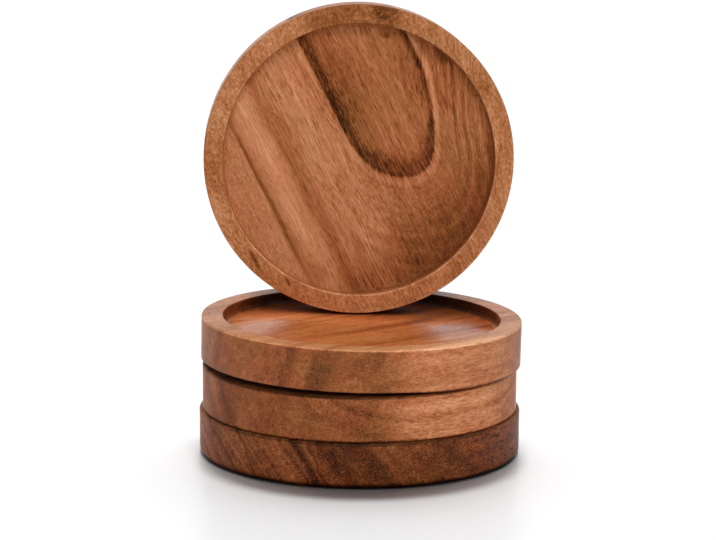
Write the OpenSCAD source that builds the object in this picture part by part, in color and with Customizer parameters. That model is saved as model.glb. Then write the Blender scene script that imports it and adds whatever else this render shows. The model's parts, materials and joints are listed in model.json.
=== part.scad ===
// A set of four turned wooden drink coasters, three stacked and one stood on edge in the top recess.
// Each coaster is one piece of wood: a flat foot, a straight side, a raised rim and a round recess.
// Millimetres, Z up, origin at the middle of the face that rests on the table.

/* [Bottom coaster] */
// Outside diameter of the bottom coaster
bottom_d = 101.4; // [96:0.1:106]
// Height of the bottom coaster, foot to rim
bottom_t = 14.2; // [12:0.1:18]
// Radius of the rounded edge under the bottom coaster
bottom_foot_r = 2.2; // [0.4:0.1:3]

/* [Middle coaster] */
// Outside diameter of the middle coaster
middle_d = 99.4; // [96:0.1:106]
// Height of the middle coaster, foot to rim
middle_t = 14.2; // [12:0.1:18]
// Radius of the eased edge under the middle coaster
middle_foot_r = 0.5; // [0.3:0.1:3]

/* [Top coaster] */
// Outside diameter of the top coaster
top_d = 101.2; // [96:0.1:106]
// Height of the top coaster, foot to rim
top_t = 13.9; // [12:0.1:18]
// Radius of the eased edge under the top coaster
top_foot_r = 0.5; // [0.3:0.1:3]

/* [Standing coaster] */
// Outside diameter of the standing coaster
standing_d = 99.6; // [96:0.1:106]
// Height of the standing coaster, foot to rim
standing_t = 13.9; // [12:0.1:18]
// Radius of the eased edge round the back of the standing coaster
standing_foot_r = 0.8; // [0.3:0.1:3]

/* [Recess and rim] */
// Diameter of the recess that holds the glass, the same cutter on every coaster
recess_d = 87.3; // [80:0.1:88]
// Depth of the recess below the rim
recess_depth = 4.1; // [3:0.1:6]
// Radius of the cove between the recess wall and its floor
cove_r = 1.8; // [0.5:0.1:2.5]
// Radius on the inner edge of the rim
lip_r = 0.4; // [0.2:0.1:1]
// Radius on the outer edge of the rim
rim_r = 0.7; // [0.3:0.1:1.5]

/* [Stacking] */
// Clearance left under each coaster where it rests on the next
seat_gap = 0.05; // [0.02:0.01:0.3]
// Angle in degrees by which the top coaster rocks down to its right
top_rock = 0.95; // [0:0.05:1.5]
// How far the top coaster sits to the right of the middle one
top_shift = 0.3; // [0:0.1:1]

/* [Stance of the standing coaster] */
// Angle in degrees by which the standing coaster faces to the right
standing_turn = 2.8; // [0:0.1:8]
// Angle in degrees by which the standing coaster leans back
standing_lean = 2; // [0:0.1:4]
// Room between the lower back corners of the standing coaster and the recess wall behind them
wall_gap = 2.6; // [0.5:0.1:6]
// How far the standing coaster is set to the left of the middle of the recess
standing_side = 1.9; // [0:0.1:5]

/* [Hidden] */
$fn = 180;

// Overrun that carries every cut past the wood
cut_over = 1;

// Radii of the round parts
recess_r = recess_d / 2;
bottom_r = bottom_d / 2;
middle_r = middle_d / 2;
top_r = top_d / 2;
standing_r = standing_d / 2;

// Height of the cove above the recess floor at a distance r from the axis
function cove_height(r) = cove_r - sqrt(pow(cove_r, 2) - pow(max(r - recess_r + cove_r, 0), 2));

// Height at which a disc of radius r comes to rest on a coaster of radius below_r: on the rim where both
// are wider than the recess, and otherwise down on the recess floor or its cove
function seat_height(r, below_r, thickness) =
    min(r, below_r) > recess_r ? thickness
    : thickness - recess_depth + cove_height(min(r, below_r));

// Levels of the stack
middle_z = seat_height(middle_r, bottom_r, bottom_t) + seat_gap;
top_z = middle_z + seat_height(top_r + top_shift, middle_r, middle_t) + seat_gap;

// The top coaster rocks about the outer end of its flat foot, or of the rim below, whichever is nearer
rock_x = min(top_shift + top_r - top_foot_r, middle_r - rim_r);

// Floor of the top coaster's recess, in the coaster's own frame
floor_z = top_t - recess_depth;

// Height of the standing coaster's back centre above its lowest point
standing_rise = (standing_r - standing_foot_r) * cos(standing_lean)
    - standing_foot_r * sin(standing_lean) + standing_foot_r;

// Half the width of what lies below the rim plane, and the recess wall behind its ends
chord_half = sqrt(pow(standing_r, 2) - pow(standing_r - recess_depth, 2));
wall_y = sqrt(pow(recess_r, 2) - pow(chord_half + standing_side, 2));

// Back centre of the standing coaster, in the top coaster's frame
standing_y = wall_y - wall_gap - chord_half * sin(standing_turn) + standing_rise * sin(standing_lean);
standing_x = -standing_side - standing_t * sin(standing_turn);

// Waste outside a rounded corner at x, z, with the wood towards side_x and side_z, each 1 or -1
module corner_waste(x, z, r, side_x, side_z) {
    translate([x, z])
        mirror([side_x > 0 ? 0 : 1, 0])
            mirror([0, side_z > 0 ? 0 : 1])
                difference() {
                    translate([-cut_over, -cut_over])
                        square(r + cut_over);
                    translate([r, r])
                        circle(r);
                }
}

// Half outline of the recess, with the cove left in its lower corner
module recess_outline(thickness) {
    difference() {
        translate([0, thickness - recess_depth])
            square([recess_r, recess_depth + cut_over]);
        corner_waste(recess_r, thickness - recess_depth, cove_r, -1, 1);
    }
}

// Half outline of one coaster, from its axis outwards
module coaster_outline(outer_r, thickness, foot_r) {
    difference() {
        square([outer_r, thickness]);
        recess_outline(thickness);
        corner_waste(recess_r, thickness, lip_r, 1, -1);
        corner_waste(outer_r, thickness, rim_r, -1, -1);
        corner_waste(outer_r, 0, foot_r, -1, 1);
    }
}

// One coaster turned about its axis, foot on the ground and recess up
module coaster(outer_r, thickness, foot_r) {
    rotate_extrude()
        coaster_outline(outer_r, thickness, foot_r);
}

// Frame of the top coaster, which rocks down to its right on the rim below it
module on_top_seat() {
    translate([rock_x, 0, top_z])
        rotate([0, top_rock, 0])
            translate([top_shift - rock_x, 0, 0])
                children();
}

module bottom_coaster() {
    color("saddlebrown")
        coaster(bottom_r, bottom_t, bottom_foot_r);
}

module middle_coaster() {
    color("peru")
        translate([0, 0, middle_z])
            coaster(middle_r, middle_t, middle_foot_r);
}

module top_coaster() {
    color("chocolate")
        on_top_seat()
            coaster(top_r, top_t, top_foot_r);
}

module standing_coaster() {
    color("sienna")
        on_top_seat()
            translate([standing_x, standing_y, floor_z + seat_gap + standing_rise])
                rotate([90 - standing_lean, 0, standing_turn])
                    coaster(standing_r, standing_t, standing_foot_r);
}

bottom_coaster();
middle_coaster();
top_coaster();
standing_coaster();
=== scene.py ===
import json
import math

import bpy
from mathutils import Matrix, Quaternion, Vector


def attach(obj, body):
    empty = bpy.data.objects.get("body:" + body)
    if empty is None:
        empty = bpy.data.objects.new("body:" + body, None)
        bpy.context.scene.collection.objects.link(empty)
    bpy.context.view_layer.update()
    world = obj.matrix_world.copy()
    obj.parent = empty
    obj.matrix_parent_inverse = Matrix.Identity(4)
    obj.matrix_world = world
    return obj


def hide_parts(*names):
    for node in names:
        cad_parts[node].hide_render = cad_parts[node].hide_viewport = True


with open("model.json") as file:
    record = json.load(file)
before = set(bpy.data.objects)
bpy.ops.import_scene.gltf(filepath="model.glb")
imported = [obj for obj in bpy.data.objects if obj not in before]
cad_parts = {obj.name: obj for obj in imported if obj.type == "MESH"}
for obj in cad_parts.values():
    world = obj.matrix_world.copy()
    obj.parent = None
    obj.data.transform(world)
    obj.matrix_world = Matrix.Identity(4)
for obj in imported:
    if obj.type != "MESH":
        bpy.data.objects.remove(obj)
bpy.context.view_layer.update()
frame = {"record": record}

# Real sizes in millimetres, as the coasters were measured
MM = 0.001
BOTTOM = {"across": 101.4, "tall": 14.2, "foot": 2.2}
MIDDLE = {"across": 99.4, "tall": 14.2, "foot": 0.5}
TOP = {"across": 101.2, "tall": 13.9, "foot": 0.5}
STANDING = {"across": 99.6, "tall": 13.9, "foot": 0.8}
RECESS_ACROSS = 87.3
RECESS_DEEP = 4.1
COVE = 1.8
LIP = 0.4
RIM_EDGE = 0.7
SEAT_GAP = 0.05
TOP_SHIFT = 0.3
TOP_ROCK = math.radians(0.95)

# How finely a coaster is modelled
SIDES = 288
SIDE_STEPS = 5
RIM_STEPS = 3
WALL_STEPS = 2
FLAT_STEPS = 12
EDGE_STEPS = {"foot": 8, "rim": 6, "lip": 5, "cove": 8}

# How near to a ring a point still lies on it, in millimetres, and how far down a foot's face looks
NEAR = 0.01
DOWNWARDS = -0.5

# Unevenness left by turning and sanding by hand, always a little less wood than the full size. The loss
# is in millimetres, the wave and the places where each coaster is cut from the waves are in metres
SANDING_LOSS = 0.16
SANDING_WAVE = 0.022
SANDING_APART = 0.1
SANDING_AT = (0.03, 0.07)

# The front left of the top coaster's foot stands off the coaster below, between these places and this
# far in from its edge
TOP_LIFT = {"left": -46.0, "right": 12.0, "edge": 1.5, "height": 0.5, "reach": 14.0}


# Modelling

def pick(parts, chosen):
    """Selects the chosen ones among the points, edges or faces of a mesh, and nothing else."""
    bpy.ops.mesh.select_all(action="DESELECT")
    bpy.ops.object.mode_set(mode="OBJECT")
    for part in parts:
        part.select = chosen(part)
    bpy.ops.object.mode_set(mode="EDIT")


def round_ring(coaster, radius, height, rounding, steps):
    """Rounds the ring of edges at that distance from the axis and that height, in millimetres."""

    def on_ring(edge):
        ends = [coaster.data.vertices[i].co / MM for i in edge.vertices]
        on_radius = all(abs(math.hypot(x, y) - radius) < NEAR for x, y, _ in ends)
        return on_radius and all(abs(z - height) < NEAR for _, _, z in ends)

    pick(coaster.data.edges, on_ring)
    bpy.ops.mesh.bevel(offset=rounding * MM, segments=steps, profile=0.5, affect="EDGES")


def raise_face(height, steps):
    """Draws the selected face up, or down, in even steps."""
    step = (0, 0, height * MM / steps)
    for _ in range(steps):
        bpy.ops.mesh.extrude_region_move(TRANSFORM_OT_translate={"value": step})


def ring_face(width, steps):
    """Insets the selected face in even steps and leaves the innermost face selected."""
    for _ in range(steps):
        bpy.ops.mesh.inset(thickness=width * MM / steps)


def close_flat(radius):
    """Fills a flat round face with rings down to one point in the middle."""
    ring_face(radius * (FLAT_STEPS - 1) / FLAT_STEPS, FLAT_STEPS - 1)
    bpy.ops.mesh.poke()


def turn_coaster(name, size):
    """One coaster as it leaves the lathe: foot, side, rim and recess, standing at the origin."""
    radius = size["across"] / 2
    recess_radius = RECESS_ACROSS / 2
    floor = size["tall"] - RECESS_DEEP
    bpy.ops.object.select_all(action="DESELECT")
    bpy.ops.mesh.primitive_circle_add(vertices=SIDES, radius=radius * MM, fill_type="NGON")
    coaster = bpy.context.object
    coaster.name = name
    bpy.ops.object.mode_set(mode="EDIT")
    bpy.ops.mesh.select_mode(type="FACE")
    bpy.ops.mesh.select_all(action="SELECT")
    raise_face(size["tall"], SIDE_STEPS)
    ring_face(radius - recess_radius, RIM_STEPS)
    raise_face(-RECESS_DEEP, WALL_STEPS)
    close_flat(recess_radius)
    bpy.ops.mesh.select_all(action="SELECT")
    bpy.ops.mesh.normals_make_consistent(inside=False)
    pick(coaster.data.polygons, lambda face: face.normal.z < DOWNWARDS)
    close_flat(radius)
    bpy.ops.mesh.select_mode(type="EDGE")
    round_ring(coaster, radius, 0, size["foot"], EDGE_STEPS["foot"])
    round_ring(coaster, radius, size["tall"], RIM_EDGE, EDGE_STEPS["rim"])
    round_ring(coaster, recess_radius, size["tall"], LIP, EDGE_STEPS["lip"])
    round_ring(coaster, recess_radius, floor, COVE, EDGE_STEPS["cove"])
    bpy.ops.object.mode_set(mode="OBJECT")
    bpy.ops.object.shade_smooth()
    return coaster


def lift_foot(coaster, size, lift):
    """Draws part of the foot's edge up a little, as it is where the disc has cupped in drying."""
    inner = size["across"] / 2 - lift["edge"]

    def at_front_left(point):
        x, y, z = point.co / MM
        on_edge = z < size["foot"] + NEAR and math.hypot(x, y) > inner
        return on_edge and y < 0 and lift["left"] < x < lift["right"]

    bpy.ops.object.mode_set(mode="EDIT")
    bpy.ops.mesh.select_mode(type="VERT")
    pick(coaster.data.vertices, at_front_left)
    bpy.ops.transform.translate(
        value=(0, 0, lift["height"] * MM),
        use_proportional_edit=True,
        proportional_edit_falloff="SMOOTH",
        proportional_size=lift["reach"] * MM,
    )
    bpy.ops.object.mode_set(mode="OBJECT")


def sand_by_hand(coaster, wave_place):
    """Takes off a little wood unevenly, so that no edge or face is quite true."""
    waves = bpy.data.textures.new("sanding_" + coaster.name, type="CLOUDS")
    waves.noise_scale = SANDING_WAVE
    waves.noise_depth = 1
    coaster.location = wave_place
    bpy.ops.object.modifier_add(type="DISPLACE")
    sanding = coaster.modifiers[-1]
    sanding.texture = waves
    sanding.texture_coords = "GLOBAL"
    sanding.mid_level = 1.0
    sanding.strength = SANDING_LOSS * MM
    bpy.ops.object.modifier_apply(modifier=sanding.name)
    coaster.location = (0, 0, 0)


def put_in_place(coaster, place):
    """Moves the finished coaster to where it lies, with the place kept in its mesh."""
    bpy.ops.object.select_all(action="DESELECT")
    coaster.select_set(True)
    bpy.context.view_layer.objects.active = coaster
    coaster.matrix_world = place
    bpy.ops.object.transform_apply(location=True, rotation=True, scale=True)


def stack_places():
    """Where each coaster's foot stands and which way it faces."""
    middle_z = BOTTOM["tall"] + SEAT_GAP
    top_z = middle_z + MIDDLE["tall"] + SEAT_GAP
    rock_x = min(TOP_SHIFT + TOP["across"] / 2 - TOP["foot"], MIDDLE["across"] / 2 - RIM_EDGE)
    seat = Matrix.Translation(Vector((rock_x, 0, top_z)) * MM)
    rock = Matrix.Rotation(TOP_ROCK, 4, "Y")
    shift = Matrix.Translation(Vector((TOP_SHIFT - rock_x, 0, 0)) * MM)
    mounts = {mount["name"]: mount for mount in frame["record"]["mounts"]}
    facing = Vector(mounts["glass_seat"]["axis"]).normalized()
    right = Vector((0, 0, 1)).cross(facing).normalized()
    up = facing.cross(right)
    floor = STANDING["tall"] - RECESS_DEEP
    back = Vector(mounts["glass_seat"]["pos_m"]) - facing * floor * MM
    turned = Matrix((right, up, facing)).transposed().to_4x4()
    return {
        "bottom": Matrix.Identity(4),
        "middle": Matrix.Translation((0, 0, middle_z * MM)),
        "top": seat @ rock @ shift,
        "standing": Matrix.Translation(back) @ turned,
    }


# Node tools

def empty_tree(owner):
    """The nodes of a material or a world, with none in it yet."""
    owner.use_nodes = True
    owner.node_tree.nodes.clear()
    return owner.node_tree


def feed(tree, socket, value):
    """Links a socket to this one, or sets a number, vector or colour on it."""
    if isinstance(value, bpy.types.NodeSocket):
        tree.links.new(value, socket)
    else:
        socket.default_value = value


def add_node(tree, kind, **values):
    """A new node with values on its sockets."""
    node = tree.nodes.new(kind)
    for label, value in values.items():
        feed(tree, node.inputs[label.replace("_", " ")], value)
    return node


def calc(tree, operation, *values):
    """One Math node."""
    node = tree.nodes.new("ShaderNodeMath")
    node.operation = operation
    for socket, value in zip(node.inputs, values):
        feed(tree, socket, value)
    return node.outputs[0]


def minus(tree, value, other):
    """The value less the other."""
    return calc(tree, "SUBTRACT", value, other)


def plus(tree, value, other, share):
    """The value with a share of the other added."""
    return calc(tree, "MULTIPLY_ADD", other, share, value)


def ease(tree, value, low, high, to_low=0.0, to_high=1.0):
    """A soft step: to_low below low, to_high above high."""
    ends = {"From_Min": low, "From_Max": high, "To_Min": to_low, "To_Max": to_high}
    node = add_node(tree, "ShaderNodeMapRange", Value=value, **ends)
    node.interpolation_type = "SMOOTHSTEP"
    return node.outputs["Result"]


def stretch(tree, place, scale, move):
    """The place, drawn out by a factor along each axis and moved."""
    node = add_node(tree, "ShaderNodeMapping", Vector=place, Location=move, Scale=scale)
    return node.outputs["Vector"]


def noise(tree, place, name):
    """Soft noise from 0 to 1, by its name among NOISES."""
    scale, move, detail, rough = NOISES[name]
    drawn = stretch(tree, place, scale, move)
    fineness = {"Scale": 1.0, "Detail": detail, "Roughness": rough}
    return add_node(tree, "ShaderNodeTexNoise", Vector=drawn, **fineness).outputs["Fac"]


def noise_along(tree, distance, detail, rough):
    """Soft noise from 0 to 1 that changes only with one distance."""
    node = add_node(tree, "ShaderNodeTexNoise", Scale=1.0, Detail=detail, Roughness=rough)
    node.noise_dimensions = "1D"
    feed(tree, node.inputs["W"], distance)
    return node.outputs["Fac"]


def around_zero(tree, value):
    """Noise from 0 to 1 brought round 0."""
    return minus(tree, value, 0.5)


def times(tree, first, *others):
    """All the values multiplied."""
    for other in others:
        first = calc(tree, "MULTIPLY", first, other)
    return first


def between(tree, value, rise, fall):
    """1 between two soft edges, and 0 outside them."""
    return times(tree, ease(tree, value, *rise), ease(tree, value, *fall, 1.0, 0.0))


def ease_past(tree, value, edge, step):
    """A soft step with its ends given from an edge."""
    low, high, *levels = step
    return ease(tree, value, edge + low, edge + high, *levels)


def split(tree, place):
    """The three parts of a place: along the fibres, across them and through the thickness."""
    node = add_node(tree, "ShaderNodeSeparateXYZ", Vector=place)
    return list(node.outputs)


def join(tree, x, y, z):
    """A place from its three parts."""
    return add_node(tree, "ShaderNodeCombineXYZ", X=x, Y=y, Z=z).outputs[0]


def distance_from(tree, a, b):
    """Length of the two sides of a right angle, a and b."""
    return calc(tree, "SQRT", plus(tree, times(tree, a, a), b, b))


def linear(red, green, blue):
    """A colour as it is seen on a screen, 0 to 255, in the numbers that a shader takes."""
    shares = [value / 255 for value in (red, green, blue)]
    lit = [s / 12.92 if s <= 0.04045 else ((s + 0.055) / 1.055) ** 2.4 for s in shares]
    return (*lit, 1.0)


def ramp(tree, value, stops):
    """A colour for each value, through stops that each have a position from 0 to 1 and a colour."""
    node = tree.nodes.new("ShaderNodeValToRGB")
    elements = node.color_ramp.elements
    while len(elements) < len(stops):
        elements.new(0.5)
    for element, (position, colour) in zip(elements, stops):
        element.position = position
        element.color = colour
    feed(tree, node.inputs[0], value)
    return node.outputs["Color"]


# Sockets of a Mix node that mixes colours
MIX_FIRST = 6
MIX_SECOND = 7
MIX_RESULT = 2


def mix_colours(tree, share, first, second, blend="MIX"):
    """Goes from the first colour to the second, or to both multiplied, by a share from 0 to 1."""
    node = tree.nodes.new("ShaderNodeMix")
    node.data_type = "RGBA"
    node.blend_type = blend
    feed(tree, node.inputs["Factor"], share)
    feed(tree, node.inputs[MIX_FIRST], first)
    feed(tree, node.inputs[MIX_SECOND], second)
    return node.outputs[MIX_RESULT]


def new_group(name, inputs, outputs):
    """An empty node group with named sockets. Returns its tree, its inputs and its outputs."""
    tree = bpy.data.node_groups.new(name, "ShaderNodeTree")
    for label, kind in inputs:
        tree.interface.new_socket(name=label, in_out="INPUT", socket_type=kind)
    for label, kind in outputs:
        tree.interface.new_socket(name=label, in_out="OUTPUT", socket_type=kind)
    start = tree.nodes.new("NodeGroupInput")
    end = tree.nodes.new("NodeGroupOutput")
    return tree, start.outputs, end.inputs


def use_group(tree, group, **values):
    """Places a group in a material with its own values. Returns its outputs."""
    node = tree.nodes.new("ShaderNodeGroup")
    node.node_tree = group
    for label, value in values.items():
        feed(tree, node.inputs[label.replace("_", " ").capitalize()], value)
    return node.outputs


NUMBER = "NodeSocketFloat"
VECTOR = "NodeSocketVector"
COLOUR = "NodeSocketColor"


# Wood, in groups that all four coasters share. Places are in millimetres, X along the fibres.

# Soft noise in the wood: how fast it changes along, across and through the fibres, where it is cut
# from, how fine it is and how rough
NOISES = {
    "streaks": ((0.025, 0.45, 0.45), (0, 0, 0), 3.0, 0.6),
    "lines": ((0.09, 1.8, 1.8), (7, 3, 5), 2.0, 0.55),
    "strokes": ((0.37, 2.1, 2.1), (3, 8, 1), 2.0, 0.6),
    "grain": ((1.0, 1.7, 1.7), (4, 6, 7), 2.0, 0.65),
    "clouds": ((0.035, 0.08, 0.08), (5, 5, 2), 4.0, 0.62),
    "pores": ((0.36, 2.4, 2.4), (1, 9, 4), 1.0, 0.5),
    "pore_crowds": ((0.08, 0.25, 0.25), (8, 2, 3), 2.0, 0.5),
    "ring_waver": ((0.012, 0.06, 0.06), (0, 0, 0), 2.0, 0.45),
    "ring_fuzz": ((0.12, 0.9, 0.9), (0, 0, 0), 2.0, 0.55),
    "hatching": ((0.34, 1.9, 1.0), (0, 0, 0), 2.0, 0.6),
    "arch_sway": ((0.02, 0.05, 0.05), (3, 8, 2), 2.0, 0.45),
    "fibre_sway": ((0.035, 0.06, 0.06), (2, 4, 7), 2.0, 0.5),
    "redness": ((0.04, 0.11, 0.11), (6, 2, 9), 2.0, 0.5),
}

# Pores: how much they keep together, and where in the noise they begin and are full
PORES = {"crowding": 0.3, "from": 0.6, "full": 0.68}

# Growth rings: how far fine noise frays them, how many fine lines each has, and how these crowd
RINGS = {"fuzz": 0.3, "lines": 2.3, "crowds": 0.6, "crowds_from": 3.0, "crowding": -0.5}
RING_LINE = (0.3, 0.56, 1.0, 0.0)

# Rings that the lathe tool leaves, in each millimetre
TURNING_MARKS = 1.4


def make_fibres():
    """Long streaks, fine lines, short strokes, fine grain and broad clouds in the wood, each round 0,
    and its dark pores, from 0 to 1."""
    tree, given, out = new_group(
        "wood_fibres",
        [("Place", VECTOR)],
        [(name, NUMBER) for name in ("Streaks", "Lines", "Strokes", "Grain", "Pores", "Clouds")],
    )
    place = given["Place"]
    for name in ("Streaks", "Lines", "Strokes", "Grain", "Clouds"):
        feed(tree, out[name], around_zero(tree, noise(tree, place, name.lower())))
    crowds = around_zero(tree, noise(tree, place, "pore_crowds"))
    pores = noise(tree, place, "pores")
    pores = plus(tree, pores, crowds, PORES["crowding"])
    feed(tree, out["Pores"], ease(tree, pores, PORES["from"], PORES["full"]))
    return tree


def make_rings():
    """Growth rings round a pith that lies beside the coaster, uneven in width and darkness."""
    tree, given, out = new_group(
        "growth_rings",
        [
            ("Place", VECTOR), ("Pith across", NUMBER), ("Pith deep", NUMBER),
            ("Ring width", NUMBER), ("Waver", NUMBER),
        ],
        [("Rings", NUMBER), ("Lines", NUMBER)],
    )
    place = given["Place"]
    _, across, deep = split(tree, place)
    aside = minus(tree, across, given["Pith across"])
    from_pith = distance_from(tree, aside, minus(tree, deep, given["Pith deep"]))
    waver = noise(tree, place, "ring_waver")
    wandered = plus(tree, from_pith, waver, given["Waver"])
    fuzz = noise(tree, place, "ring_fuzz")
    fuzz_wide = times(tree, given["Waver"], RINGS["fuzz"])
    wandered = plus(tree, wandered, fuzz, fuzz_wide)
    turns = calc(tree, "DIVIDE", wandered, given["Ring width"])
    feed(tree, out["Rings"], noise_along(tree, turns, detail=1.0, rough=0.5))
    lines = noise_along(tree, times(tree, turns, RINGS["lines"]), detail=2.0, rough=0.65)
    crowd_at = plus(tree, RINGS["crowds_from"], turns, RINGS["crowds"])
    crowds = around_zero(tree, noise_along(tree, crowd_at, detail=1.0, rough=0.5))
    lines = plus(tree, lines, crowds, RINGS["crowding"])
    feed(tree, out["Lines"], ease(tree, lines, *RING_LINE))
    return tree


# Colours of redder and of more olive wood as they are seen, from dark heart wood to pale wood
RED_WOOD = [
    (0.0, (40, 14, 3)),
    (0.22, (92, 43, 17)),
    (0.42, (132, 69, 35)),
    (0.6, (165, 95, 57)),
    (0.8, (199, 130, 91)),
    (1.0, (229, 169, 131)),
]
OLIVE_WOOD = [
    (0.0, (38, 18, 2)),
    (0.22, (88, 50, 18)),
    (0.42, (128, 76, 36)),
    (0.6, (161, 103, 60)),
    (0.8, (194, 136, 94)),
    (1.0, (226, 173, 132)),
]

# What oil does to the light that comes back from the wood, in red, green and blue
OILED = (1.0, 0.8, 0.56, 1.0)


def make_colours():
    """Turns a tone from 0, dark heart wood, to 1, pale wood, into a colour: redder or more olive,
    and deeper where the wood is well oiled."""
    tree, given, out = new_group(
        "wood_colours",
        [("Tone", NUMBER), ("Redness", NUMBER), ("Oil", NUMBER)],
        [("Colour", COLOUR)],
    )
    olive, red = [
        ramp(tree, given["Tone"], [(position, linear(*seen)) for position, seen in stops])
        for stops in (OLIVE_WOOD, RED_WOOD)
    ]
    dry = mix_colours(tree, given["Redness"], olive, red)
    feed(tree, out["Colour"], mix_colours(tree, given["Oil"], dry, OILED, "MULTIPLY"))
    return tree


def make_turning():
    """Faint rings that the tool leaves round the axis."""
    tree, given, out = new_group("turning_marks", [("Place", VECTOR)], [("Marks", NUMBER)])
    x, y, _ = split(tree, given["Place"])
    turns = times(tree, distance_from(tree, x, y), TURNING_MARKS)
    feed(tree, out["Marks"], noise_along(tree, turns, detail=2.0, rough=0.6))
    return tree


GROUPS = {
    "fibres": make_fibres(),
    "rings": make_rings(),
    "colours": make_colours(),
    "turning": make_turning(),
}


def coaster_place(tree, place, fibre_turn):
    """The place in a coaster's own millimetres, from the middle of its foot, X along its fibres."""
    coordinates = tree.nodes.new("ShaderNodeTexCoord")
    laid = place @ Matrix.Rotation(fibre_turn, 4, "Z")
    ends = {"Location": laid.to_translation(), "Rotation": laid.to_euler("XYZ")}
    seen = coordinates.outputs["Object"]
    mapping = add_node(tree, "ShaderNodeMapping", Vector=seen, Scale=(MM, MM, MM), **ends)
    mapping.vector_type = "TEXTURE"
    return mapping.outputs["Vector"]


# Soft steps and strengths in the figure of the lying coasters
LINES_FADE = 14.0
LINES_BROKEN = (-0.16, 0.16, 1.5, 0.5)
BAND_WANDER = {"clouds": 6.0, "streaks": 4.0}
BAND_CORE = 0.2
SAPWOOD_WANDER = 14.0
SAPWOOD_EDGE = (-5.0, 4.0, 1.0, 0.0)

# How far from its middle a soft mark is full and where it ends, as shares of its size
MARK_STEP = (0.2, 1.3)


def ringed_tone(tree, place, fibres, look):
    """Tone of a coaster whose figure is plain growth rings, with paler sapwood along one side. With
    it the share of the fibres that shows, here all, and how granular the wood is, here not at all."""
    rings = use_group(
        tree,
        GROUPS["rings"],
        place=place,
        pith_across=look["pith"][0],
        pith_deep=look["pith"][1],
        ring_width=look["ring_width"],
        waver=look["waver"],
    )
    along, across, deep = split(tree, place)
    tone = plus(tree, look["tone"], around_zero(tree, rings["Rings"]), look["bands"])
    begin, end = look["lines_from"], look["lines_to"]
    shown = times(
        tree,
        ease(tree, across, begin, begin + LINES_FADE, 0.0, -look["ring_lines"]),
        ease(tree, across, end - LINES_FADE, end, 1.0, 0.0),
        ease(tree, fibres["Strokes"], *LINES_BROKEN),
    )
    tone = plus(tree, tone, rings["Lines"], shown)
    wandering = plus(tree, across, fibres["Clouds"], BAND_WANDER["clouds"])
    wandering = plus(tree, wandering, fibres["Streaks"], BAND_WANDER["streaks"])
    for across_at, lean, wide, dark in look["dark_bands"]:
        middle = plus(tree, across_at, deep, lean)
        off = calc(tree, "ABSOLUTE", minus(tree, wandering, middle))
        tone = minus(tree, tone, ease(tree, off, BAND_CORE * wide, wide, dark, 0.0))
    tone = add_marks(tree, tone, along, across, look["smudges"])
    wandering = plus(tree, across, fibres["Clouds"], SAPWOOD_WANDER)
    sapwood = ease_past(tree, wandering, look["sapwood"], SAPWOOD_EDGE)
    return plus(tree, tone, sapwood, look["sapwood_pale"]), 1.0, 0.0


def add_marks(tree, tone, along, across, marks):
    """The tone with soft marks in it that are drawn out along the fibres, dark, or pale where their
    darkness is below 0."""
    for along_at, across_at, long, wide, dark in marks:
        off = distance_from(
            tree,
            calc(tree, "DIVIDE", minus(tree, along, along_at), long),
            calc(tree, "DIVIDE", minus(tree, across, across_at), wide),
        )
        tone = minus(tree, tone, ease(tree, off, *MARK_STEP, dark, 0.0))
    return tone


def hatching(tree, along, across):
    """Short strokes that lie a little steeper than the fibres, as in the dark ring, round 0."""
    cosine = math.cos(HATCH_TURN)
    sine = math.sin(HATCH_TURN)
    length = plus(tree, times(tree, along, cosine), across, -sine)
    side = plus(tree, times(tree, across, cosine), along, sine)
    return around_zero(tree, noise(tree, join(tree, length, side, 0.0), "hatching"))


def arch_shape(tree, along, aside, hatch):
    """How far out a place lies, 1 on the arch, how far inside it in millimetres, and how far past
    the place where its arms begin to bend."""
    half_width = ARCH["half_width"]
    narrowing = half_width - ARCH["half_end"]
    taper = ease(tree, along, ARCH["taper_from"], ARCH["taper_to"], 0.0, narrowing)
    on_right = ease(tree, aside, *ARCH_STEPS["right_half"])
    half = minus(tree, half_width, times(tree, on_right, taper))
    past_bend = calc(tree, "MAXIMUM", minus(tree, along, ARCH["bend"]), 0.0)
    share = distance_from(
        tree,
        calc(tree, "DIVIDE", aside, half),
        calc(tree, "DIVIDE", past_bend, ARCH["reach"]),
    )
    inward = times(tree, minus(tree, 1.0, share), half_width)
    ragged = ease(tree, past_bend, *ARCH_STEPS["ragged"])
    return share, plus(tree, inward, hatch, ragged), past_bend


def arch_ring(tree, along, across, fibres):
    """The dark growth ring that bends round like an arch, crisp outside and frayed inside. With it
    the paler wood just outside it, and how far out a place lies, 1 on the arch."""
    hatch = hatching(tree, along, across)
    aside = minus(tree, across, ARCH["middle"])
    share, inward, past_bend = arch_shape(tree, along, aside, hatch)
    left = ease(tree, aside, *ARCH_STEPS["left_arm"])
    bend = ease(tree, past_bend, *ARCH_STEPS["bend"])
    narrow = ARCH["right_wide"]
    width = plus(tree, narrow, left, ARCH["left_wide"] - narrow)
    width = plus(tree, width, bend, ARCH["bend_wide"] - narrow)
    fraying = plus(tree, 1.0, hatch, FRAYING["hatching"])
    fraying = plus(tree, fraying, fibres["Lines"], FRAYING["lines"])
    frayed = calc(tree, "MAXIMUM", times(tree, width, fraying), FRAYING["least"])
    ring = times(
        tree,
        ease(tree, inward, *ARCH_STEPS["outside"]),
        ease(tree, calc(tree, "DIVIDE", inward, frayed), *ARCH_STEPS["inside"]),
        ease(tree, hatch, *ARCH_STEPS["hatched"]),
        ease(tree, past_bend, *ARCH_STEPS["bend_fades"]),
        ease(tree, aside, *ARCH_STEPS["right_fades"]),
    )
    edge = between(tree, inward, *ARCH_EDGE)
    ring = plus(tree, ring, edge, ARCH_EDGE_DARK)
    halo = times(tree, between(tree, inward, *ARCH_HALO), ease(tree, aside, *ARCH_STEPS["halo"]))
    return ring, halo, share


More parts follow.
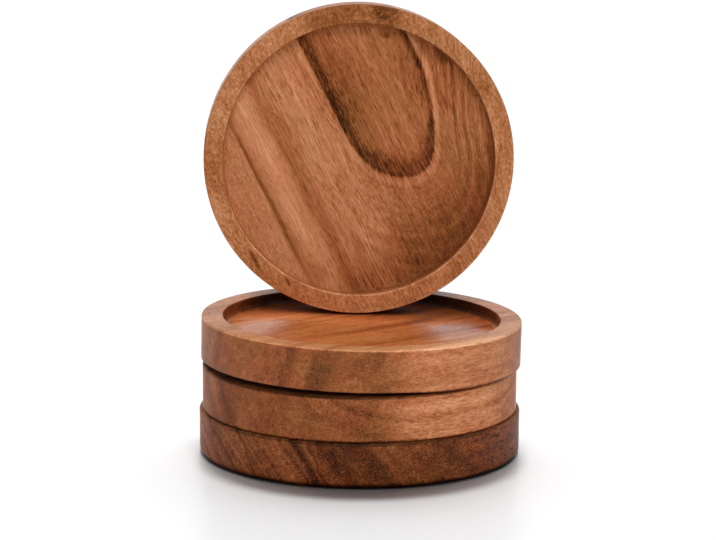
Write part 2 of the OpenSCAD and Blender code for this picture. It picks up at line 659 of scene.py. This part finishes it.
def straight_bands(tree, across):
    """Tone of the bands that run straight along the fibres, from the pale border to the arch."""
    whole = 2 * BANDS_REACH
    stops = [((edge + BANDS_REACH) / whole, (grey, grey, grey, 1.0)) for edge, grey in BAND_TONES]
    return ramp(tree, plus(tree, 0.5, across, 1 / whole), stops)


def border_line(tree, along, across):
    """The crisp dark line between the border and the bands, strongest halfway down."""
    line = between(tree, calc(tree, "ADD", across, BORDER["across"]), *BORDER_EDGES)
    from_middle = minus(tree, along, BORDER["along"])
    off = calc(tree, "ABSOLUTE", calc(tree, "DIVIDE", from_middle, BORDER["long"]))
    return times(tree, line, ease(tree, off, *BORDER_FADES, BORDER["dark"], BORDER["dark_end"]))


def outer_rings(tree, across, share, fibres):
    """Thin dark rings to the right of the arch, and a broken one that stands out among them."""
    many = noise_along(tree, times(tree, share, OUTER["rings"]), detail=2.0, rough=0.6)
    many = times(
        tree,
        ease(tree, many, *OUTER_STEPS["rings"]),
        ease(tree, across, *OUTER_STEPS["right"]),
        ease(tree, share, *OUTER_STEPS["outside"]),
    )
    off = minus(tree, share, OUTER["second"])
    off = plus(tree, off, fibres["Streaks"], OUTER["second_wander"])
    second = times(
        tree,
        ease(tree, calc(tree, "ABSOLUTE", off), *OUTER_STEPS["second"]),
        ease(tree, fibres["Strokes"], *OUTER_STEPS["second_broken"]),
        ease(tree, across, *OUTER_STEPS["second_dark"]),
    )
    return plus(tree, second, many, OUTER["dark"])


def arched_tone(tree, place, fibres, look):
    """Tone of the standing coaster: a dark arch of growth rings and a straight pale border. With it
    the share of the fibres that shows, and how granular the wood is, on the rim most of all."""
    along, across, deep = split(tree, place)
    sway = around_zero(tree, noise(tree, place, "arch_sway"))
    across = plus(tree, across, sway, ARCH_SWAY)
    ring, halo, share = arch_ring(tree, along, across, fibres)
    swayed = plus(tree, across, fibres["Streaks"], BANDS_WANDER)
    tone = calc(tree, "ADD", straight_bands(tree, swayed), halo)
    ring = times(tree, ring, ease(tree, fibres["Lines"], *ARCH_STEPS["ring_lines"]))
    tone = plus(tree, tone, ring, -ARCH_DARK)
    ripples = around_zero(tree, noise_along(tree, times(tree, share, RIPPLES), detail=3.0, rough=0.6))
    ripples = times(
        tree,
        ripples,
        ease(tree, share, *ARCH_STEPS["ripples_outside"]),
        ease(tree, across, *ARCH_STEPS["ripples_right"]),
    )
    tone = calc(tree, "ADD", tone, ripples)
    tone = calc(tree, "ADD", tone, ease(tree, share, *ARCH_STEPS["paler_outside"]))
    tone = minus(tree, tone, border_line(tree, along, across))
    tone = minus(tree, tone, outer_rings(tree, across, share, fibres))

    # Oil-dark, mottled wood low on the right
    low_right = times(tree, across, LOW_RIGHT["across"])
    low_right = plus(tree, low_right, along, LOW_RIGHT["along"])
    mottled = plus(tree, low_right, fibres["Clouds"], LOW_RIGHT["mottling"])
    mottled = ease(tree, mottled, LOW_RIGHT["from"], LOW_RIGHT["full"], 0.0, LOW_RIGHT["dark"])
    tone = minus(tree, tone, mottled)
    tone = add_marks(tree, tone, along, across, SMUDGES)

    # The rim lies higher in the log and shows less of the figure
    on_rim = ease(tree, deep, *RIM_STEP)
    rim_tone = plus(tree, RIM_TONE, fibres["Clouds"], RIM_CLOUDS)
    rim_tone = add_marks(tree, rim_tone, along, across, RIM_SMUDGES)
    difference = minus(tree, rim_tone, tone)
    tone = plus(tree, tone, on_rim, difference)

    granular = times(
        tree,
        ease(tree, share, *GRANULAR_STEPS["below_arch"]),
        ease(tree, across, *GRANULAR_STEPS["right"]),
        ease(tree, along, *GRANULAR_STEPS["low"]),
    )
    in_border = ease(tree, across, *GRANULAR_STEPS["border"])
    granular = calc(tree, "MAXIMUM", granular, in_border)
    granular = calc(tree, "MAXIMUM", granular, on_rim)
    calmer = plus(tree, 1.0, granular, -GRANULAR_CALM)
    return tone, times(tree, ease(tree, across, *FIBRES_SHOWN), calmer), granular


# Soft steps of a coaster's zones, in millimetres from the edge, the height or the middle that each
# belongs to
ZONES = {
    "above_floor": (-0.6, -0.4),
    "wall": (-2.0, -0.4),
    "within_wall": (0.1, 0.4, 1.0, 0.0),
    "floor": (-1.0, -0.2, 1.0, 0.0),
    "far_shade_step": (10.0, 27.0),
    "painted_edge": (0.15, 0.5, 1.0, 0.0),
    "painted_edge_height": (-1.0, -0.5),
    "painted_edge_inner_front": (0.0, 32.0, 1.0, 0.0),
    "painted_edge_outer_front": (-42.0, -10.0, 1.0, 0.0),
    "rim": (0.0, 0.3),
    "rim_height": (-0.9, -0.4),
}

# How much the far side, which gets painted shade, faces right, where the rim's edges with painted light
# and shade lie, and how patchy they are
FAR_SHADE_TURN = 0.12
PAINTED_EDGE_INNER = 0.15
PAINTED_EDGE_OUTER = 0.3
PAINTED_EDGE_PATCHES = (-0.15, 0.15, 0.4, 1.0)

# How high the painted shade round the foot reaches, at the seams and where the stack stands, more where
# the rounding under the side is larger, and how frayed it is
FOOT_SHADE = {"full": 0.2, "end": 0.5, "rounding": 0.8, "frayed": 0.8}


def recess_zones(tree, place, size):
    """1 all over the recess, 1 on its wall and corner, which are darkened there as painted shade, 1 on
    its polished floor, which is paled all over as painted light, and 1 along its far side, darkened as
    painted shade for the shadow of the coaster that stands in it."""
    x, y, z = split(tree, place)
    off_axis = distance_from(tree, x, y)
    edge = RECESS_ACROSS / 2
    above = ease_past(tree, z, size["tall"] - RECESS_DEEP, ZONES["above_floor"])
    within = ease_past(tree, off_axis, edge, ZONES["within_wall"])
    inside = times(tree, above, within)
    towards_back = plus(tree, y, x, FAR_SHADE_TURN)
    return {
        "inside": inside,
        # Painted shade: the wall and corner of the recess are darkened where shade falls
        "wall": times(tree, ease_past(tree, off_axis, edge, ZONES["wall"]), above, within),
        # The floor is paled all over as painted light, and it is also polished
        "floor": times(tree, ease_past(tree, off_axis, edge, ZONES["floor"]), above),
        # Painted shade: the far side of the recess is darkened in place of the shadow of the coaster
        # that stands in it
        "far": times(tree, inside, ease(tree, towards_back, *ZONES["far_shade_step"])),
    }


def painted_edge_band(tree, off_axis, y, radius, front):
    """1 on one edge of the rim, less from its front to its back."""
    off = calc(tree, "ABSOLUTE", minus(tree, off_axis, radius))
    return times(tree, ease(tree, off, *ZONES["painted_edge"]), ease(tree, y, *front))


def edge_zones(tree, place, size, fibres):
    """1 in patches on the two edges of the rim, for painted light there: a highlight where its share is
    above 0 and shade at the seams where it is below, 1 all over the rim, and 1 round the foot, for
    painted shade at the seams and under the stack."""
    x, y, z = split(tree, place)
    off_axis = distance_from(tree, x, y)
    inner = RECESS_ACROSS / 2
    outer = size["across"] / 2
    painted_edge_inner = painted_edge_band(tree, off_axis, y, inner + PAINTED_EDGE_INNER, ZONES["painted_edge_inner_front"])
    painted_edge_outer = painted_edge_band(tree, off_axis, y, outer - PAINTED_EDGE_OUTER, ZONES["painted_edge_outer_front"])
    # Painted light along the rim's edges: a highlight where its share is above 0, seam shade where below
    painted_edge = times(
        tree,
        calc(tree, "MAXIMUM", painted_edge_inner, painted_edge_outer),
        ease_past(tree, z, size["tall"], ZONES["painted_edge_height"]),
        ease(tree, fibres["Clouds"], *PAINTED_EDGE_PATCHES),
    )
    rim = times(
        tree,
        ease_past(tree, off_axis, inner, ZONES["rim"]),
        ease_past(tree, z, size["tall"], ZONES["rim_height"]),
    )
    # Painted shade round the foot, at the seams and under the stack
    height = plus(tree, z, fibres["Strokes"], FOOT_SHADE["frayed"])
    end = FOOT_SHADE["end"] + FOOT_SHADE["rounding"] * size["foot"]
    foot = ease(tree, height, FOOT_SHADE["full"], end, 1.0, 0.0)
    return {"painted_edge": painted_edge, "rim": rim, "foot": foot}


def turn_back(tree, place, turn):
    """The place with X and Y as the coaster lies, no longer along and across its fibres."""
    node = add_node(tree, "ShaderNodeVectorRotate", Vector=place, Angle=turn)
    node.rotation_type = "Z_AXIS"
    return node.outputs[0]


# How far the fibres sway to either side, between which places across the wood they turn, and how near
# to the pith they bend no further, in millimetres
FIBRE_SWAY = 1.3
FIBRES_TURN = (17.0, 38.0, 0.0)
BENT_FROM = -24.0


def bent_grain(tree, place, turn):
    """The place with the fibres swaying, and turned a little on the far side of the pith."""
    along, across, deep = split(tree, place)
    sway = around_zero(tree, noise(tree, place, "fibre_sway"))
    turned = ease(tree, across, *FIBRES_TURN, turn)
    bent = times(tree, calc(tree, "MAXIMUM", along, BENT_FROM), turned)
    bent = plus(tree, bent, sway, 2 * FIBRE_SWAY)
    return join(tree, along, calc(tree, "ADD", across, bent), deep)


# How much more the fine grain shows where the wood is granular
GRANULAR = 0.7

# From the front of a coaster to its back, in millimetres: where the painted sheen on its rim gets less
# and where its oil ends, and where the polish of its floor ends
RIM_LIGHT_STEP = (-48.0, -15.0)
RIM_LIGHT_BACK = 0.7
RIM_OIL_STEP = (-46.0, -20.0)
FLOOR_POLISH_STEP = (6.0, 20.0)

# Where in the noise the wood turns red, how much more olive the rim is, how each layer changes the
# roughness, when seen edge on too, and how the surface is raised, in millimetres
RED_STEP = (0.3, 0.7)
RIM_OLIVE = 0.45
GLOSS = {"strokes": 0.25, "lines": 0.3, "floor_back": 0.3, "pores": 0.2}
EDGE_ON_STEP = (0.85, 0.97, 0.0, -0.22)
RELIEF = {"pores": 0.8, "marks": 0.3, "strength": 0.35, "deep": 0.05}


def wood_tone(tree, here, y, fibres, zones, look, tone_of):
    """Tone of the figure with its fibres, with light and shade painted into the coaster's zones."""
    tone, shown, granular = tone_of(tree, here, fibres, look)
    for layer in ("Streaks", "Lines", "Strokes", "Clouds", "Pores"):
        strength = times(tree, shown, look[layer.lower()])
        tone = plus(tree, tone, fibres[layer], strength)
    grain = plus(tree, look["grain"], granular, GRANULAR)
    tone = plus(tree, tone, fibres["Grain"], grain)
    rim_light_and_shade = look["rim_light_and_shade"]
    # Painted light and shade in the zones: shade on the recess wall, light on the recess floor, the
    # standing coaster's shadow on the far side of the top recess, a highlight along the rim's edges
    # above 0 and seam shade below, sheen on the rim, and shade round the foot at the seams
    paler = {
        "wall": -look["wall_painted_shade"],
        "floor": look["floor_painted_light"],
        "far": -look["far_painted_shade"],
        "painted_edge": look["edge_light_and_shade"],
        # Painted sheen on the rim, more at the front; below 0 it is painted shade at the seam
        "rim": ease(tree, y, *RIM_LIGHT_STEP, rim_light_and_shade, RIM_LIGHT_BACK * rim_light_and_shade),
        "foot": -look["foot_painted_shade"],
    }
    for zone, change in paler.items():
        tone = plus(tree, tone, zones[zone], change)
    return tone


def wood_colour(tree, here, y, tone, zones, look):
    """Colour for the tone: red in places, more olive on the rim, and deeper where it is oiled."""
    redness = ease(tree, noise(tree, here, "redness"), *RED_STEP, *look["redness"])
    redness = times(tree, redness, plus(tree, 1.0, zones["rim"], -RIM_OLIVE))
    oil = times(tree, zones["rim"], ease(tree, y, *RIM_OIL_STEP, look["rim_oil"], 0.0))
    oil = plus(tree, oil, zones["inside"], look["floor_oil"])
    return use_group(tree, GROUPS["colours"], tone=tone, redness=redness, oil=oil)["Colour"]


def wood_roughness(tree, y, fibres, zones, look):
    """Roughness: silky between strokes and lines, polished on the rim and the floor, dull in pores."""
    rough = plus(tree, look["roughness"], fibres["Strokes"], GLOSS["strokes"])
    rough = plus(tree, rough, fibres["Lines"], GLOSS["lines"])
    rough = plus(tree, rough, zones["rim"], -look["rim_polish"])
    polish = ease(tree, y, *FLOOR_POLISH_STEP, -look["floor_polish"], GLOSS["floor_back"])
    rough = plus(tree, rough, zones["floor"], polish)
    rough = plus(tree, rough, fibres["Pores"], GLOSS["pores"])
    edge_on = tree.nodes.new("ShaderNodeLayerWeight")
    return calc(tree, "ADD", rough, ease(tree, edge_on.outputs["Facing"], *EDGE_ON_STEP))


def wood_relief(tree, here, fibres):
    """Normal of wood with raised strokes, sunk pores and faint marks of the lathe tool."""
    marks = use_group(tree, GROUPS["turning"], place=here)["Marks"]
    relief = plus(tree, fibres["Strokes"], fibres["Pores"], -RELIEF["pores"])
    relief = plus(tree, relief, marks, RELIEF["marks"])
    raised = {"Strength": RELIEF["strength"], "Distance": RELIEF["deep"] * MM}
    return add_node(tree, "ShaderNodeBump", Height=relief, **raised).outputs["Normal"]


def wood(name, place, look, tone_of):
    """Oiled wood for one coaster, solid all through."""
    material = bpy.data.materials.new(name)
    tree = empty_tree(material)
    here = coaster_place(tree, place, look["fibre_turn"])
    unturned = turn_back(tree, here, look["fibre_turn"])
    _, y, _ = split(tree, unturned)
    fibres = use_group(tree, GROUPS["fibres"], place=bent_grain(tree, here, look["grain_turn"]))
    zones = recess_zones(tree, unturned, look["size"])
    zones.update(edge_zones(tree, unturned, look["size"], fibres))
    tone = wood_tone(tree, here, y, fibres, zones, look, tone_of)
    shader = tree.nodes.new("ShaderNodeBsdfPrincipled")
    shader.inputs["Specular IOR Level"].default_value = look["sheen"]
    feed(tree, shader.inputs["Base Color"], wood_colour(tree, here, y, tone, zones, look))
    feed(tree, shader.inputs["Roughness"], wood_roughness(tree, y, fibres, zones, look))
    feed(tree, shader.inputs["Normal"], wood_relief(tree, here, fibres))
    add_node(tree, "ShaderNodeOutputMaterial", Surface=shader.outputs["BSDF"])
    return material


# The coasters

# Places and sizes in millimetres, along and across the fibres. Dark is a share of the tone, and below
# 0 it is paler.

# Dark bands on two coasters. Each row has a band's place across the fibres, how far it leans through the
# thickness, its width and how dark it is
BOTTOM_BANDS = [
    (-29.0, 0.74, 13.0, 0.185),
    (-50.0, 0.74, 16.0, 0.1),
    (-12.2, 0.56, 2.4, 0.22),
    (-15.2, 0.5, 1.1, 0.18),
    (-4.4, 0.52, 3.4, -0.08),
    (8.7, 0.64, 1.0, 0.15),
]
TOP_BANDS = [
    (13.5, -0.3, 4.0, 0.1),
    (-17.4, -0.3, 2.4, 0.11),
    (-26.5, -0.3, 4.4, 0.13),
]

# Soft marks on the top coaster, which shows its floor, and towards the ends of the two below. Each row
# has a mark's place along and across the fibres, its length, its width and how dark it is
TOP_SMUDGES = [
    (3.5, -2.5, 22.0, 3.2, 0.27),
    (22.8, -3.1, 7.0, 3.5, 0.2),
    (5.0, 11.0, 15.0, 4.5, -0.06),
    (7.6, -17.0, 14.0, 6.0, 0.08),
    (-18.0, 9.0, 12.0, 5.0, -0.08),
    # This pale mark lies where the floor's left highlight falls and makes it creamier: partly painted
    # highlight, partly paler wood
    (-20.0, 26.0, 13.0, 7.0, -0.07),
    (26.3, -17.0, 13.0, 8.0, 0.14),
    (31.0, -41.0, 12.0, 9.0, -0.09),
]
MIDDLE_SMUDGES = [
    (31.0, -38.0, 13.0, 11.0, -0.15),
    (-49.0, 3.0, 9.0, 6.0, 0.11),
]
BOTTOM_SMUDGES = [
    (-31.0, 39.0, 15.0, 13.0, -0.11),
]

# The wood of each coaster: how its fibres lie, its figure, how strong each layer of fibres is, its
# gloss, and how its zones are oiled, polished, and paler or darker with painted light and shade. The
# lying ones share some of it
LYING = {
    "grain_turn": 0.0, "streaks": 0.35, "roughness": 0.5, "sheen": 0.1, "rim_polish": 0.0,
    "rim_oil": 0.0, "floor_polish": 0.15, "floor_painted_light": 0.1, "floor_oil": 0.3, "wall_painted_shade": 0.1,
    "far_painted_shade": 0.0,
}
LOOKS = {
    "bottom": {
        **LYING, "fibre_turn": math.radians(62),
        "pith": (95.0, -74.0), "ring_width": 4.2, "waver": 3.5, "dark_bands": BOTTOM_BANDS,
        "smudges": BOTTOM_SMUDGES, "redness": (0.55, 1.0),
        "tone": 0.395, "bands": 0.26, "ring_lines": 0.13, "lines_from": -28.0, "lines_to": 80.0,
        "sapwood": -60.0, "sapwood_pale": 0.0,
        "lines": 0.34, "strokes": 0.56, "clouds": 0.5, "pores": -0.2, "grain": 0.25,
        "edge_light_and_shade": -0.22, "rim_light_and_shade": 0.0, "foot_painted_shade": 0.42,
    },
    "middle": {
        **LYING, "fibre_turn": math.radians(38),
        "pith": (-58.0, 44.0), "ring_width": 6.0, "waver": 7.0, "dark_bands": [],
        "smudges": MIDDLE_SMUDGES, "redness": (0.4, 1.0),
        "tone": 0.455, "bands": 0.22, "ring_lines": 0.07, "lines_from": -80.0, "lines_to": -8.0,
        "sapwood": -45.0, "sapwood_pale": 0.33,
        "lines": 0.3, "strokes": 0.38, "clouds": 0.45, "pores": -0.12, "grain": 0.15,
        "edge_light_and_shade": -0.33, "rim_light_and_shade": -0.1, "foot_painted_shade": 0.34,
    },
    "top": {
        **LYING, "fibre_turn": math.radians(41),
        "pith": (-88.0, -48.0), "ring_width": 10.0, "waver": 9.0, "dark_bands": TOP_BANDS,
        "smudges": TOP_SMUDGES, "redness": (0.2, 0.95),
        "tone": 0.42, "bands": 0.2, "ring_lines": 0.03, "lines_from": -80.0, "lines_to": 80.0,
        "sapwood": -45.0, "sapwood_pale": 0.27,
        "lines": 0.3, "strokes": 0.36, "clouds": 0.4, "pores": -0.12, "grain": 0.05,
        "roughness": 0.45, "sheen": 0.15, "rim_polish": 0.12,
        "floor_polish": 0.27, "floor_painted_light": 0.29, "floor_oil": 1.0,
        "wall_painted_shade": 0.05, "far_painted_shade": 0.36, "edge_light_and_shade": -0.05, "rim_light_and_shade": 0.33, "foot_painted_shade": 0.4,
    },
    "standing": {
        "fibre_turn": math.radians(-63), "grain_turn": 0.38, "redness": (0.25, 0.85),
        "streaks": 0.2, "lines": 0.42, "strokes": 0.36, "clouds": 0.25, "pores": -0.16,
        "grain": 0.08,
        "roughness": 0.5, "sheen": 0.06, "rim_polish": 0.0, "rim_oil": 0.35,
        "floor_polish": 0.0, "floor_painted_light": 0.0, "floor_oil": 0.0,
        "wall_painted_shade": 0.06, "far_painted_shade": 0.0, "edge_light_and_shade": 0.24, "rim_light_and_shade": 0.0, "foot_painted_shade": 0.1,
    },
}

# Figure of the standing coaster. A soft step has the value where it begins, the value where it ends,
# and what holds before and after, which are 0 and 1 where they aren't given

# The arch of growth rings, and the soft steps that shape it
HATCH_TURN = math.radians(12)
ARCH = {
    "middle": 15.8, "half_width": 16.1, "half_end": 11.2, "taper_from": -20.0, "taper_to": 8.0,
    "bend": -7.3, "reach": 20.8, "left_wide": 4.2, "bend_wide": 4.2, "right_wide": 1.9,
}
ARCH_SWAY = 1.5
ARCH_DARK = 0.44
ARCH_EDGE = ((-0.3, 0.3), (0.5, 1.7))
ARCH_EDGE_DARK = 0.12
ARCH_HALO = ((-3.0, -1.0), (-0.6, 0.0))
FRAYING = {"hatching": 2.2, "lines": 2.0, "least": 0.2}
RIPPLES = 7.0
ARCH_STEPS = {
    "right_half": (-2.0, 2.0),
    "ragged": (2.0, 14.0, -0.9, -1.9),
    "left_arm": (-9.0, 6.0, 1.0, 0.0),
    "bend": (3.0, 15.0),
    "outside": (-0.2, 0.5),
    "inside": (0.6, 1.3, 1.0, 0.0),
    "hatched": (-0.14, 0.12, 1.25, 0.6),
    "bend_fades": (6.0, 18.0, 1.0, 0.68),
    "right_fades": (4.0, 12.0, 1.0, 0.8),
    "halo": (0.0, 12.0, 0.07, 0.17),
    "ring_lines": (-0.12, 0.14, 1.1, 0.75),
    "ripples_outside": (1.02, 1.2),
    "ripples_right": (-16.0, 0.0, 0.0, 0.22),
    "paler_outside": (1.0, 1.15, 0.0, 0.025),
}

# Straight bands, as tones at places across the fibres, how far they reach and how they wander
BANDS_REACH = 50.0
BANDS_WANDER = 3.5
BAND_TONES = [
    (-50.0, 0.68), (-32.4, 0.68), (-31.8, 0.55), (-30.0, 0.64), (-28.0, 0.73), (-25.5, 0.785),
    (-22.5, 0.73), (-20.0, 0.55), (-16.5, 0.64), (-11.0, 0.71), (-4.0, 0.675), (2.0, 0.575),
    (29.0, 0.565), (33.0, 0.578), (50.0, 0.578),
]

# Thin rings to the right of the arch, counted outwards from it, and one that stands out
OUTER = {"rings": 9.0, "dark": 0.1, "second": 1.55, "second_wander": 0.12}
OUTER_STEPS = {
    "rings": (0.4, 0.5, 1.0, 0.0),
    "right": (26.0, 34.0),
    "outside": (1.1, 1.25),
    "second": (0.01, 0.055, 1.0, 0.0),
    "second_broken": (-0.12, 0.12, 1.3, 0.2),
    "second_dark": (26.0, 32.0, 0.0, 0.13),
}

# The dark line along the pale border, and how it fades towards its ends
BORDER = {"across": 32.1, "along": -2.0, "long": 32.0, "dark": 0.2, "dark_end": 0.06}
BORDER_EDGES = ((-0.2, 0.25), (0.3, 2.2))
BORDER_FADES = (0.2, 1.0)

# The dark wood low on the right, the rim, where the fibres end in the surface and look granular, and
# how much of the fibres shows between the border and the rest
LOW_RIGHT = {
    "along": 0.977, "across": 0.22, "mottling": 12.0, "from": 17.0, "full": 44.0, "dark": 0.235,
}
RIM_STEP = (10.3, 11.6)
RIM_TONE = 0.66
RIM_CLOUDS = 0.45
GRANULAR_STEPS = {
    "below_arch": (1.0, 1.35),
    "right": (-14.0, 6.0),
    "low": (-4.0, 12.0, 0.0, 0.62),
    "border": (-34.0, -31.0, 0.5, 0.0),
}
GRANULAR_CALM = 0.4
FIBRES_SHOWN = (-27.0, -14.0, 0.7, 1.1)

# Soft marks on the face and on the rim, in rows as above
SMUDGES = [
    (-22.9, 20.3, 22.0, 5.0, -0.03),
    (-24.4, 6.5, 16.0, 4.0, 0.07),
    (-17.4, 38.8, 3.5, 2.5, 0.2),
    (-4.1, 33.2, 3.5, 1.0, 0.14),
    (27.5, -27.3, 4.0, 2.2, 0.12),
]
RIM_SMUDGES = [
    (41.0, -20.0, 12.0, 24.0, -0.07),
    (-44.0, 22.0, 14.0, 24.0, 0.25),
    (-36.5, 28.9, 6.0, 4.5, 0.16),
    (13.4, -44.3, 4.5, 0.8, 0.35),
    (24.7, -37.8, 2.0, 0.6, 0.3),
]
SIZES = {"bottom": BOTTOM, "middle": MIDDLE, "top": TOP, "standing": STANDING}


def make_coaster(which, place):
    """Models one coaster, finishes it and lets it stand for its CAD solid."""
    look = {**LOOKS[which], "size": SIZES[which]}
    coaster = turn_coaster("turned_" + which, SIZES[which])
    if which == "top":
        lift_foot(coaster, TOP, TOP_LIFT)
    sand_by_hand(coaster, (SANDING_APART * list(SIZES).index(which), *SANDING_AT))
    put_in_place(coaster, place)
    tone_of = arched_tone if which == "standing" else ringed_tone
    coaster.data.materials.append(wood(which + "_wood", place, look, tone_of))
    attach(coaster, which + "_coaster")
    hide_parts(which + "_coaster")
    return coaster


PLACES = stack_places()
coasters = {which: make_coaster(which, PLACES[which]) for which in SIZES}


# Studio

TABLE = {"across": 8.0, "colour": (0.845, 0.85, 0.86, 1.0), "gloss": 0.3, "roughness": 0.3}
WHITE = (1.0, 1.0, 1.0, 1.0)

# How much the white world lights what isn't glossy
WORLD_LIGHT = 0.05

# The camera's lens and sensor in millimetres, its angles in degrees and its place in metres
CAMERA = {
    "lens": 149.49, "sensor": 36.0, "pitch": 10.894, "roll": 0.362,
    "place": (-0.000739, -0.918160, 0.234566),
}


def make_floor():
    """A plain white table that keeps the shadow and goes white in the picture."""
    bpy.ops.object.select_all(action="DESELECT")
    bpy.ops.mesh.primitive_plane_add(size=TABLE["across"], location=(0, 0, 0))
    floor = bpy.context.object
    floor.name = "floor"
    material = bpy.data.materials.new("white_table")
    tree = empty_tree(material)
    matt = add_node(tree, "ShaderNodeBsdfDiffuse", Color=TABLE["colour"])
    satin = add_node(tree, "ShaderNodeBsdfGlossy", Color=WHITE, Roughness=TABLE["roughness"])
    fresnel = tree.nodes.new("ShaderNodeFresnel")
    gloss = times(tree, fresnel.outputs[0], TABLE["gloss"])
    surface = tree.nodes.new("ShaderNodeMixShader")
    for socket, source in zip(surface.inputs, (gloss, matt.outputs[0], satin.outputs[0])):
        feed(tree, socket, source)
    add_node(tree, "ShaderNodeOutputMaterial", Surface=surface.outputs[0])
    floor.data.materials.append(material)
    return floor


def make_world():
    """White where the camera and the gloss look, a plain grey light on the wood."""
    world = bpy.data.worlds.new("studio")
    bpy.context.scene.world = world
    tree = empty_tree(world)
    rays = tree.nodes.new("ShaderNodeLightPath")
    seen = calc(tree, "MAXIMUM", rays.outputs["Is Camera Ray"], rays.outputs["Is Glossy Ray"])
    seen = calc(tree, "MAXIMUM", seen, rays.outputs["Is Transmission Ray"])
    strength = plus(tree, WORLD_LIGHT, seen, 1.0 - WORLD_LIGHT)
    background = add_node(tree, "ShaderNodeBackground", Color=WHITE, Strength=strength)
    add_node(tree, "ShaderNodeOutputWorld", Surface=background.outputs[0])


def lit_pieces(name, pieces):
    """The pieces that a lamp lights, listed for it."""
    listed = bpy.data.collections.new(name)
    for piece in pieces:
        listed.objects.link(piece)
    return listed


def make_lamp(name, place, spread, power, lights):
    """A light from one direction, the softer the wider its spread, on the listed pieces alone."""
    lamp = bpy.data.lights.new(name, type="SUN")
    lamp.angle = math.radians(spread)
    lamp.energy = power
    holder = bpy.data.objects.new(name, lamp)
    bpy.context.scene.collection.objects.link(holder)
    holder.location = place
    holder.rotation_euler = (-Vector(place)).to_track_quat("-Z", "Y").to_euler()
    holder.light_linking.receiver_collection = lights


def make_camera():
    """The camera of the photograph: a long lens a little above the stack."""
    camera = bpy.data.cameras.new("camera")
    camera.lens = CAMERA["lens"]
    camera.sensor_width = CAMERA["sensor"]
    holder = bpy.data.objects.new("camera", camera)
    bpy.context.scene.collection.objects.link(holder)
    pitch = math.radians(CAMERA["pitch"])
    roll = math.radians(CAMERA["roll"])
    look = Vector((0, math.cos(pitch), -math.sin(pitch)))
    turned = look.to_track_quat("-Z", "Y") @ Quaternion((0, 0, 1), roll)
    holder.rotation_euler = turned.to_euler()
    holder.location = CAMERA["place"]
    bpy.context.scene.camera = holder


make_camera()
make_world()
table = make_floor()
all_wood = lit_pieces("all_wood", coasters.values())
top_alone = lit_pieces("top_alone", [coasters["top"]])
other_wood = lit_pieces("other_wood", [piece for which, piece in coasters.items() if which != "top"])
table_alone = lit_pieces("table_alone", [table])

# The camera's side is lit by a broad lamp from the front and two weak ones from the sides, and these
# leave the table alone, so the stack's shadow falls to the front
make_lamp("key_lamp", place=(0.15, -0.75, 0.62), spread=45, power=1.9, lights=all_wood)
make_lamp("left_lamp", place=(-0.90, -0.15, 0.45), spread=60, power=0.28, lights=all_wood)
make_lamp("right_lamp", place=(0.90, -0.15, 0.45), spread=60, power=0.55, lights=all_wood)

# The standing coaster keeps the wood behind it in the shade, so the top one is lit from the front
make_lamp("back_lamp", place=(0.0, 0.42, 0.90), spread=50, power=1.3, lights=other_wood)
make_lamp("top_lamp", place=(-0.40, -0.33, 0.86), spread=32, power=1.55, lights=top_alone)

# A small lamp draws the dark line round the foot, and two broad ones draw the soft shadow to the
# front and to the sides
make_lamp("table_lamp", place=(0.0, 0.27, 0.96), spread=9, power=1.55, lights=table_alone)
make_lamp("broad_table_lamp", place=(0.0, 0.64, 0.77), spread=68, power=2.2, lights=table_alone)
make_lamp("overhead_table_lamp", place=(0.0, 0.17, 0.98), spread=65, power=0.3, lights=table_alone)
bpy.context.scene.view_settings.view_transform = "Standard"
